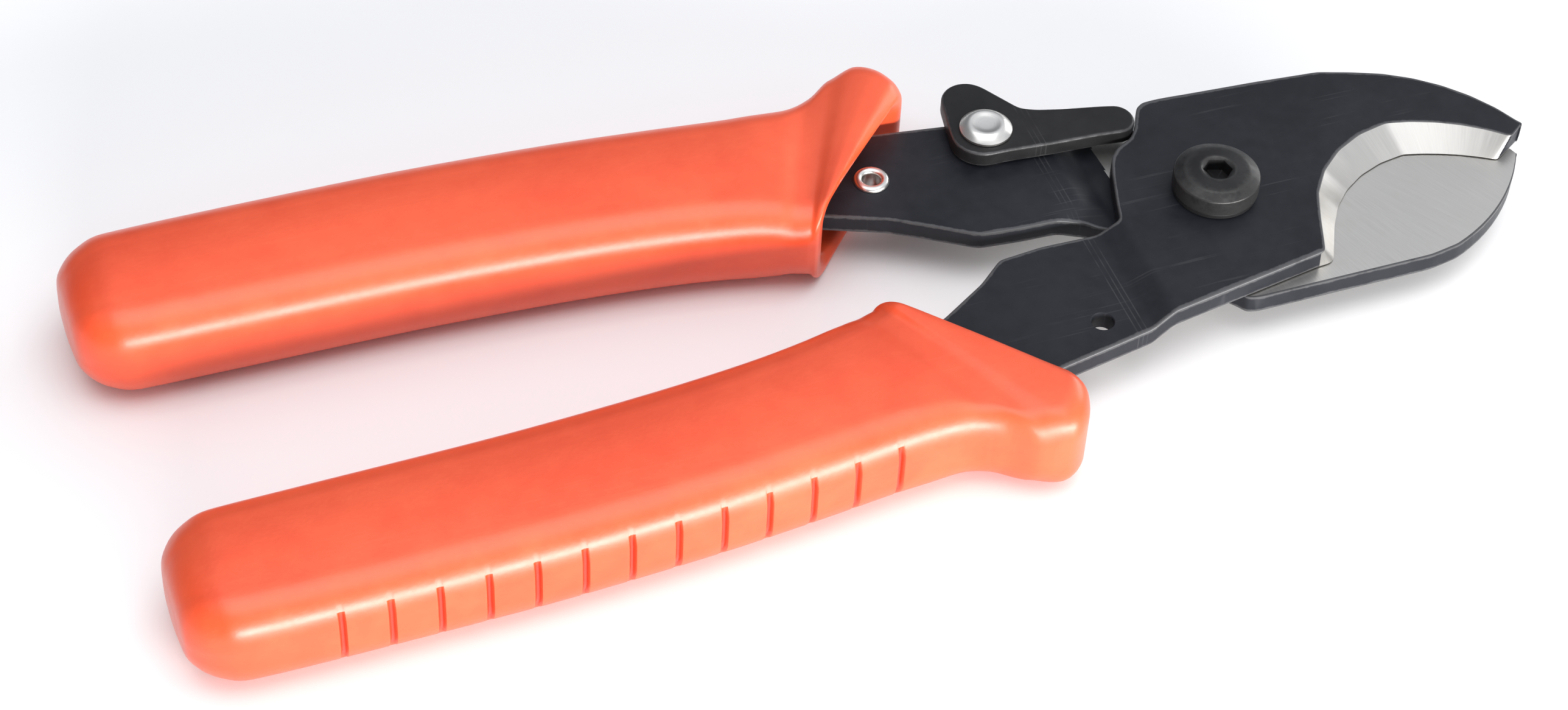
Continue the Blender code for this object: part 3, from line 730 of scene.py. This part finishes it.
def latch_path():
    """Closed outline of tab, nose and hub about the rivet, its corners eased and its points spread evenly."""
    outline = joined(arc((-4.4, 7.5), (-0.7, 11.5), (3.4, 9.5), 8),
                     [(7.2, 3.2), (9.5, 2.1), (13.6, 1.0), (19.0, -0.1)],
                     arc((22.3, -0.9), (23.9, -3.8), (21.6, -7.0), 6),
                     [(17.0, -6.5), (9.0, -6.1), (1.9, -5.5)],
                     arc((-2.0, -5.4), (-5.2, -3.0), (-5.6, 1.0), 5))
    loop = np.vstack([outline, outline[:1]])
    travel = chord_length(loop)
    count = 320
    even = np.linspace(0, travel[-1], count, endpoint=False)
    path = np.column_stack([np.interp(even, travel, loop[:, k]) for k in (0, 1)])
    spacing = travel[-1] / count
    reach = 20
    padded = np.vstack([path[-reach:], path, path[:reach]])
    return softened(padded, spacing, 0.7)[reach:-reach]


def make_latch(black):
    """Plate between the outline and the rivet's hole: a rounded wall outside, ruled faces to the hole."""
    path = latch_path()
    normal = -inward(path, closed=True)
    if ((path - path.mean(axis=0)) * normal).sum() < 0:
        normal = -normal
    centre = np.array(LATCH_PIVOT)
    hole = path / np.linalg.norm(path, axis=1, keepdims=True) * RIVET_HOLE
    angle = np.radians(np.linspace(0, 90, 7))
    top_round, low_round = LATCH_TOP_ROUND, LATCH_LOW_ROUND
    rows = [(path - normal * (0.9 * t), LATCH_LOW) for t in (1.0, 0.6)]
    rows += [(path - normal * low_round * (1 - np.sin(s)), LATCH_LOW + low_round * (1 - np.cos(s)))
             for s in angle]
    rows += [(path, LATCH_LOW + (LATCH_HIGH - LATCH_LOW) * 0.5)]
    rows += [(path - normal * top_round * (1 - np.cos(s)), LATCH_HIGH - top_round * (1 - np.sin(s)))
             for s in angle]
    rim = path - normal * (top_round + 0.12)
    rows += [(rim + (hole * 1.06 - rim) * t, LATCH_HIGH) for t in np.linspace(0, 1, 12)]
    rows += [(hole, LATCH_HIGH - 0.15), (hole, LATCH_LOW + 0.15)]
    under = path - normal * 0.9
    rows += [(hole * 1.06 + (under - hole * 1.06) * t, LATCH_LOW) for t in np.linspace(0, 1, 8)[:-1]]
    grid = np.stack([np.column_stack([centre + plan, np.full(len(plan), z)]) for plan, z in rows])
    travel = chord_length(grid[:, 0])
    wear = edge_distance(grid, travel, travel[[5, 13]])
    piece = surface("latch_plate", grid, wear=wear, along=True, capped=False)
    finish(piece, "latch", "latch_lever", "blackened_steel", black)


def make_rivet(silver):
    """Shouldered rivet: low domed head with the setting tool's dish in its top, flat head behind."""
    head = LATCH_HIGH + 0.1
    tail = -TANG_TOP - 0.6
    dome = np.linspace(0, 1, 16)[:, None]
    crown = np.hstack([4.05 - 1.55 * dome, head + 0.55 + 0.90 * np.sin(dome * math.pi / 2)])
    profile = np.vstack([eased([(0, tail - 1.3), (3.6, tail - 1.3), (3.6, tail), (2.5, tail), (2.5, head),
                                (RIVET_RADIUS, head), (RIVET_RADIUS, head + 0.4)],
                               [0, 0.5, 0.1, 0.05, 0.05, 0.1, 0.1], 5)[:-1],
                         [(4.18, head + 0.42)], crown,
                         [(2.2, head + 1.40), (1.8, head + 1.26), (1.3, head + 1.18), (0.7, head + 1.15),
                          (0, head + 1.15)]])
    # The wear place is the dish's centre, where the rivet steel paints its dark reflection
    piece = turned("latch_rivet_dome", profile, centre=LATCH_PIVOT, wear_and_shade=[chord_length(profile)[-1]])
    finish(piece, "upper_handle", "latch_rivet", "silver_rivet", silver)


def make_eyelet(silver):
    """Tube with a flange rolled over at each end: the flange's top is a half circle."""
    low, high = TANG_TOP + 0.08, TANG_TOP + 0.75
    turn = np.radians(np.linspace(0, 180, 15))
    middle, half = (EYELET_BORE + EYELET_FLANGE) / 2, (EYELET_FLANGE - EYELET_BORE) / 2
    roll = np.column_stack([middle + half * np.cos(turn), low + (high - low) * np.sin(turn)])
    loop = np.vstack([[(EYELET_SHANK, -low), (EYELET_SHANK, low)], roll, (roll * [1, -1])[::-1]])
    piece = turned("tang_eyelet_ring", loop, centre=EYELET, steps=96)
    finish(piece, "upper_handle", "tang_eyelet", "silver_rivet", silver)


# ---------------------------------------------------------------- shader groups

def group(name, inputs, outputs):
    """Empty shader group with named sockets; an input without a number is a vector, every output a number.

    Returns the group, calls for its nodes, the sockets that it is given and the ones that it makes.
    """
    tree = bpy.data.node_groups.new(name, "ShaderNodeTree")
    for label, value in inputs.items():
        kind = "NodeSocketVector" if value is None else "NodeSocketFloat"
        socket = tree.interface.new_socket(label, in_out="INPUT", socket_type=kind)
        if value is not None:
            socket.default_value = value
    for label in outputs:
        tree.interface.new_socket(label, in_out="OUTPUT", socket_type="NodeSocketFloat")
    given, made = tree.nodes.new("NodeGroupInput"), tree.nodes.new("NodeGroupOutput")
    return tree, Nodes(tree), given.outputs, made.inputs


class Nodes:
    """Short calls for placing and linking the nodes of one tree."""

    def __init__(self, tree):
        self.tree = tree

    def add(self, kind, settings=None, **sockets):
        node = self.tree.nodes.new(kind)
        for key, value in (settings or {}).items():
            setattr(node, key, value)
        for key, value in sockets.items():
            self.put(node.inputs[key.replace("_", " ")], value)
        return node

    def put(self, socket, value):
        if isinstance(value, bpy.types.NodeSocket):
            self.tree.links.new(value, socket)
        else:
            socket.default_value = value

    def math(self, operation, *values, kind="ShaderNodeMath", output=0):
        node = self.add(kind, {"operation": operation})
        for socket, value in zip(node.inputs, values):
            self.put(socket, value)
        return node.outputs[output]

    def times(self, a, b):
        return self.math("MULTIPLY", a, b)

    def plus(self, a, b):
        return self.math("ADD", a, b)

    def minus(self, a, b):
        return self.math("SUBTRACT", a, b)

    def noise(self, vector, scale, detail=3.0, roughness=0.5, distortion=0.0):
        node = self.add("ShaderNodeTexNoise", Vector=vector, Scale=scale, Detail=detail, Roughness=roughness,
                        Distortion=distortion)
        return node.outputs["Fac"]

    def ramp(self, value, low, high, to_low=0.0, to_high=1.0):
        node = self.add("ShaderNodeMapRange", {"interpolation_type": "SMOOTHSTEP"}, Value=value,
                        From_Min=low, From_Max=high, To_Min=to_low, To_Max=to_high)
        return node.outputs["Result"]

    def mix(self, factor, a, b):
        node = self.add("ShaderNodeMix", {"data_type": "RGBA"})
        for number, value in ((0, factor), (6, a), (7, b)):
            self.put(node.inputs[number], value)
        return node.outputs[2]

    def use(self, tree, **sockets):
        return self.add("ShaderNodeGroup", {"node_tree": tree}, **sockets).outputs


def mottling_group():
    """Cloudy variation in two sizes with fine grain: Tone is about 0.5, Grain is the finest part."""
    tree, n, given, made = group("mottling", {"Vector": None, "Scale": 60.0}, ["Tone", "Grain"])
    place, scale = given["Vector"], given["Scale"]
    large = n.noise(place, scale, 3.0, 0.55, 0.3)
    small = n.noise(place, n.times(scale, 7.0), 4.0, 0.6)
    grain = n.noise(place, n.times(scale, 48.0), 2.0, 0.5)
    tone = n.plus(n.times(large, 0.6), n.times(small, 0.4))
    n.put(made["Tone"], tone)
    n.put(made["Grain"], grain)
    return tree


def edge_wear_group():
    """Mask that is 1 on an edge and fades over Reach millimetres, broken up by noise."""
    inputs = {"Vector": None, "Distance": 9.0, "Reach": 0.3, "Breakup": 0.5}
    tree, n, given, made = group("edge_wear", inputs, ["Mask"])
    ragged = n.noise(given["Vector"], 900.0, 4.0, 0.6)
    patchy = n.noise(given["Vector"], 130.0, 3.0, 0.5)
    swing = n.times(n.minus(n.plus(ragged, patchy), 1.0), given["Breakup"])
    near = n.minus(1.0, n.math("DIVIDE", given["Distance"], given["Reach"]))
    n.put(made["Mask"], n.ramp(n.plus(near, n.times(swing, 3.0)), 0.0, 1.0))
    return tree


def scratch_group():
    """Thin straight hairlines in two directions, kept where a cloudy mask allows them."""
    tree, n, given, made = group("hairlines", {"Vector": None, "Amount": 0.5}, ["Mask"])
    masks = []
    for turn, stretch, scale in ((0.5, 26.0, 55.0), (-0.9, 34.0, 42.0)):
        mapping = n.add("ShaderNodeMapping", Vector=given["Vector"], Rotation=(0.0, 0.0, turn),
                        Scale=(1.0, stretch, 1.0))
        line = n.noise(mapping.outputs[0], scale, 2.0, 0.4)
        masks.append(n.ramp(line, 0.66, 0.72))
    cloud = n.ramp(n.noise(given["Vector"], 90.0, 2.0, 0.5), 0.45, 0.65)
    both = n.math("MAXIMUM", *masks)
    n.put(made["Mask"], n.times(n.times(both, cloud), given["Amount"]))
    return tree


def bend_glint_group():
    """Painted highlight: faint light lines beside the bend that stand for the bend's reflection, stripes
    along Y inside a narrow band of X.
    """
    tree, n, given, made = group("painted_bend_glints", {"Vector": None, "Start": 0.0, "Pitch": 0.0008}, ["Mask"])
    x = n.add("ShaderNodeSeparateXYZ", Vector=given["Vector"]).outputs[0]
    count = n.math("DIVIDE", n.minus(x, given["Start"]), given["Pitch"])
    stripe = n.ramp(n.math("PINGPONG", count, 0.5), 0.30, 0.50)
    band = n.times(n.ramp(count, -0.3, 0.3), n.ramp(count, 2.7, 3.3, 1.0, 0.0))
    cloud = n.ramp(n.noise(given["Vector"], 160.0, 3.0, 0.6), 0.36, 0.62)
    n.put(made["Mask"], n.times(n.times(stripe, band), cloud))
    return tree


def grinding_group():
    """Parallel grinding marks from noise stretched along one side of the surface's own layout."""
    tree, n, given, made = group("grinding", {"Layout": None, "Along": 0.15, "Across": 9.0},
                                 ["Tone", "Height"])
    stretch = n.add("ShaderNodeCombineXYZ", X=given["Across"], Y=given["Along"])
    place = n.math("MULTIPLY", given["Layout"], stretch.outputs[0], kind="ShaderNodeVectorMath")
    coarse = n.noise(place, 1.0, 4.0, 0.65)
    fine = n.noise(place, 3.7, 2.0, 0.6)
    n.put(made["Tone"], coarse)
    n.put(made["Height"], n.plus(n.times(coarse, 0.6), n.times(fine, 0.4)))
    return tree


# ---------------------------------------------------------------- materials

class Finish(Nodes):
    """One material: its shader's inputs, places in the object, the surface's layout, and its wear values,
    which also carry the places of painted shade and reflection.
    """

    def __init__(self, name, roughness, metallic, specular=0.5, coat=0.0, coat_roughness=0.1):
        self.material = bpy.data.materials.new(name)
        self.material.use_nodes = True
        super().__init__(self.material.node_tree)
        self.shader = self.tree.nodes["Principled BSDF"].inputs
        for key, value in (("Roughness", roughness), ("Metallic", metallic), ("Specular IOR Level", specular),
                           ("Coat Weight", coat), ("Coat Roughness", coat_roughness)):
            self.shader[key].default_value = value
        self.place = self.add("ShaderNodeTexCoord").outputs["Object"]
        self.layout = self.add("ShaderNodeUVMap", {"uv_map": "lay"}).outputs["UV"]
        wear = self.add("ShaderNodeUVMap", {"uv_map": "wear"}).outputs["UV"]
        self.wear_and_shade = self.add("ShaderNodeSeparateXYZ", Vector=wear).outputs

    def show(self, colour, roughness=None):
        """Sends a colour and a roughness to the shader."""
        self.put(self.shader["Base Color"], colour)
        if roughness is not None:
            self.put(self.shader["Roughness"], roughness)

    def bump(self, height, strength, distance):
        """Sends a height to the shader's normal."""
        node = self.add("ShaderNodeBump", Strength=strength, Distance=distance, Height=height)
        self.put(self.shader["Normal"], node.outputs["Normal"])


def shaded(colour, part=1.0):
    """A colour made darker by a factor, with its alpha."""
    return tuple(c * part for c in colour) + (1.0,)


def blackened_steel(groups, name, dark, light, edge, roughness, reach):
    """Black oxide: cloudy blue-black, rubbed lighter at the edges, with a few hairlines and painted highlight
    lines beside the bend.
    """
    n = Finish(name, roughness, 0.0, 0.24)
    mottle = n.use(groups["mottling"], Vector=n.place, Scale=55.0)
    rubbed = n.use(groups["wear"], Vector=n.place, Distance=n.wear_and_shade[0], Reach=reach, Breakup=0.55)["Mask"]
    lines = n.use(groups["hairlines"], Vector=n.place, Amount=0.5)["Mask"]
    # Painted highlight: lighter lines beside the bend, standing for the bend's reflection
    bend_glints = n.use(groups["bend_glint"], Vector=n.place, Start=PIVOT[0] + BEND_GLINT_START * MM)["Mask"]
    base = n.mix(n.ramp(mottle["Tone"], 0.3, 0.7), dark, light)
    for mask, amount in ((lines, 0.25), (bend_glints, 0.22), (rubbed, 0.75)):
        base = n.mix(n.times(mask, amount), base, edge)
    rough = n.plus(n.ramp(mottle["Tone"], 0.3, 0.7, roughness - 0.06, roughness + 0.07),
                   n.times(n.minus(mottle["Grain"], 0.5), 0.12))
    n.show(base, n.minus(rough, n.times(rubbed, 0.06)))
    n.put(n.shader["Metallic"], n.times(rubbed, 0.5))
    n.bump(n.plus(mottle["Grain"], n.times(lines, -1.0)), 0.12, 0.00005)
    return n.material


def ground_steel(groups):
    """Bare ground steel: pale, with fine marks across the edge and faint stains."""
    n = Finish("ground_steel", 0.34, 1.0)
    marks = n.use(groups["grinding"], Layout=n.layout, Along=0.12, Across=7.0)
    mottle = n.use(groups["mottling"], Vector=n.place, Scale=45.0)
    base = n.mix(marks["Tone"], (0.48, 0.47, 0.45, 1), (0.70, 0.69, 0.665, 1))
    stain = n.times(n.ramp(mottle["Tone"], 0.52, 0.72), 0.35)
    base = n.mix(stain, base, (0.50, 0.46, 0.40, 1))
    n.show(base, n.plus(n.times(marks["Height"], 0.16), 0.28))
    n.bump(marks["Height"], 0.18, 0.00004)
    return n.material


def turned_steel(groups, name, colour, roughness, across=9.0):
    """Bright steel with turning marks round the axis and light soiling, and a painted dark reflection in the
    rivet's dished top.
    """
    n = Finish(name, roughness, 1.0)
    marks = n.use(groups["grinding"], Layout=n.layout, Along=0.15, Across=across)
    mottle = n.use(groups["mottling"], Vector=n.place, Scale=140.0)
    base = n.mix(marks["Tone"], shaded(colour, 0.72), shaded(colour))
    soil = n.times(n.ramp(mottle["Tone"], 0.5, 0.75), 0.4)
    base = n.mix(soil, base, shaded(colour, 0.55))
    # Painted reflection: the rivet's dished top is darkened for the dark reflection it shows
    dish_dark_reflection = n.ramp(n.plus(n.wear_and_shade[0], n.times(mottle["Tone"], 1.6)), 1.6, 3.4, 1.0, 0.0)
    base = n.mix(n.times(dish_dark_reflection, 0.85), base, shaded(colour, 0.40))
    n.show(base, n.plus(n.times(mottle["Tone"], 0.2), roughness - 0.1))
    n.bump(marks["Height"], 0.12, 0.00004)
    return n.material


def nylon(groups):
    """Milky nylon with faint moulding haze."""
    n = Finish("white_nylon", 0.45, 0.0)
    mottle = n.use(groups["mottling"], Vector=n.place, Scale=220.0)
    n.show(n.mix(mottle["Tone"], (0.70, 0.70, 0.66, 1), (0.86, 0.86, 0.82, 1)),
           n.ramp(mottle["Grain"], 0.3, 0.7, 0.38, 0.55))
    n.bump(mottle["Grain"], 0.15, 0.00005)
    return n.material


def orange_vinyl(groups):
    """Moulded vinyl: soft orange skin with flow clouds, tiny pits, pale scuffs and painted shade in the
    groove floors.
    """
    n = Finish("orange_vinyl", 0.38, 0.0, 0.5, 0.4, 0.34)
    mottle = n.use(groups["mottling"], Vector=n.place, Scale=26.0)
    lines = n.use(groups["hairlines"], Vector=n.place, Amount=0.4)["Mask"]
    base = n.mix(n.ramp(mottle["Tone"], 0.32, 0.68), (0.75, 0.070, 0.018, 1), (0.83, 0.098, 0.030, 1))
    base = n.mix(n.times(lines, 0.12), base, (0.88, 0.20, 0.10, 1))
    # Painted shade: the groove floors are darkened by the dent's depth
    base = n.mix(n.times(n.wear_and_shade[1], 0.80), base, (0.36, 0.022, 0.010, 1))
    rough = n.ramp(mottle["Tone"], 0.3, 0.7, 0.32, 0.44)
    n.show(base, n.plus(rough, n.times(n.minus(mottle["Grain"], 0.5), 0.14)))
    pits = n.ramp(n.noise(n.place, 1500.0, 2.0, 0.5), 0.35, 0.65)
    n.bump(n.plus(n.times(pits, 0.5), n.times(mottle["Grain"], 0.5)), 0.16, 0.00006)
    return n.material


def table_top(groups):
    """Pale matt table with the faintest cloudiness."""
    n = Finish("table_top", 0.6, 0.0, 0.3)
    mottle = n.use(groups["mottling"], Vector=n.place, Scale=4.0)
    n.show(n.mix(mottle["Tone"], (0.93, 0.93, 0.935, 1), (0.96, 0.96, 0.965, 1)))
    return n.material


# ---------------------------------------------------------------- scene

def area_light(name, location, target, size, power, colour=(1.0, 1.0, 1.0)):
    """Soft rectangular light that faces a point; lengths in metres from the pivot."""
    light = bpy.data.lights.new(name, "AREA")
    light.shape = "RECTANGLE"
    light.size, light.size_y = size
    light.energy = power
    light.color = colour
    lamp = placed(name, light)
    lamp.location = Vector(PIVOT) + Vector(location)
    lamp.rotation_euler = (Vector(target) - Vector(location)).to_track_quat("-Z", "Y").to_euler()


def make_studio(groups):
    """Pale floor, a surround that is darker towards its foot, and soft lights above, beside and in front."""
    mesh = bpy.data.meshes.new("table")
    x, y = np.meshgrid([-3.0, 3.0], [-3.0, 3.0])
    corners = np.column_stack([x.ravel(), y.ravel(), np.full(4, -0.0002)])
    mesh.from_pydata(corners.tolist(), [], [(0, 1, 3, 2)])
    for layer in ("lay", "wear"):
        mesh.uv_layers.new(name=layer)
    mesh.materials.append(table_top(groups))
    placed("table", mesh)
    world = bpy.data.worlds.new("surround")
    bpy.context.scene.world = world
    world.use_nodes = True
    n = Nodes(world.node_tree)
    direction = n.add("ShaderNodeTexCoord").outputs["Generated"]
    height = n.math("DOT_PRODUCT", direction, SKY_AXIS, kind="ShaderNodeVectorMath", output=1)
    shade = n.mix(n.ramp(height, 0.42, 0.80), (0.26, 0.27, 0.29, 1), (0.93, 0.95, 1.0, 1))
    background = world.node_tree.nodes["Background"]
    n.put(background.inputs["Color"], shade)
    background.inputs["Strength"].default_value = 0.80
    area_light("top_light", (-0.10, -0.10, 0.90), (-0.08, 0.0, 0.0), (1.0, 0.7), 4.2)
    area_light("side_light", (0.85, 0.42, 0.26), (0.0, 0.0, 0.0), (0.5, 0.3), 2.2)
    area_light("front_light", (0.12, -0.84, 0.15), (-0.05, 0.0, 0.0), (1.2, 0.16), 20.0, (1.0, 0.98, 0.95))
    bpy.context.scene.view_settings.view_transform = "Standard"


def make_camera():
    """Camera at the left front, looking down at 46 degrees with a slight roll."""
    data = bpy.data.cameras.new("camera")
    data.sensor_width = SENSOR
    data.lens = LENS
    data.clip_start, data.clip_end = 0.01, 10.0
    camera = placed("camera", data)
    camera.location = Vector(PIVOT) + Vector(CAMERA_PLACE)
    camera.rotation_euler = Euler([math.radians(a) for a in CAMERA_TURN])
    bpy.context.scene.camera = camera


def build():
    """Finishes first, then each piece, then the table, lights and camera."""
    groups = {"mottling": mottling_group(), "wear": edge_wear_group(), "hairlines": scratch_group(),
              "bend_glint": bend_glint_group(), "grinding": grinding_group()}
    finishes = {"blackened": blackened_steel(groups, "blackened_steel", (0.0075, 0.0085, 0.012, 1),
                                             (0.015, 0.0165, 0.022, 1), (0.13, 0.13, 0.135, 1), 0.42, 0.35),
                "ground": ground_steel(groups)}
    screw = blackened_steel(groups, "black_screw", (0.008, 0.008, 0.009, 1), (0.016, 0.016, 0.017, 1),
                            (0.055, 0.055, 0.055, 1), 0.36, 0.55)
    latch = blackened_steel(groups, "blackened_latch", (0.009, 0.009, 0.010, 1), (0.017, 0.017, 0.018, 1),
                            (0.09, 0.09, 0.095, 1), 0.45, 0.30)
    silver = turned_steel(groups, "silver_rivet", (0.90, 0.89, 0.86), 0.30, 5.0)
    plain = turned_steel(groups, "plain_steel", (0.62, 0.62, 0.62), 0.36)
    wire = turned_steel(groups, "spring_wire", (0.50, 0.50, 0.51), 0.34, 3.0)
    make_blades(finishes)
    make_grips(orange_vinyl(groups))
    make_bolt(screw)
    make_nut(plain, nylon(groups))
    make_washers(screw, plain)
    make_latch(latch)
    make_rivet(silver)
    make_eyelet(silver)
    for node, material in (("pivot_bushing", plain), ("return_spring", wire)):
        frame["nodes"][node].data.materials.clear()
        frame["nodes"][node].data.materials.append(material)
    make_studio(groups)
    make_camera()


build()
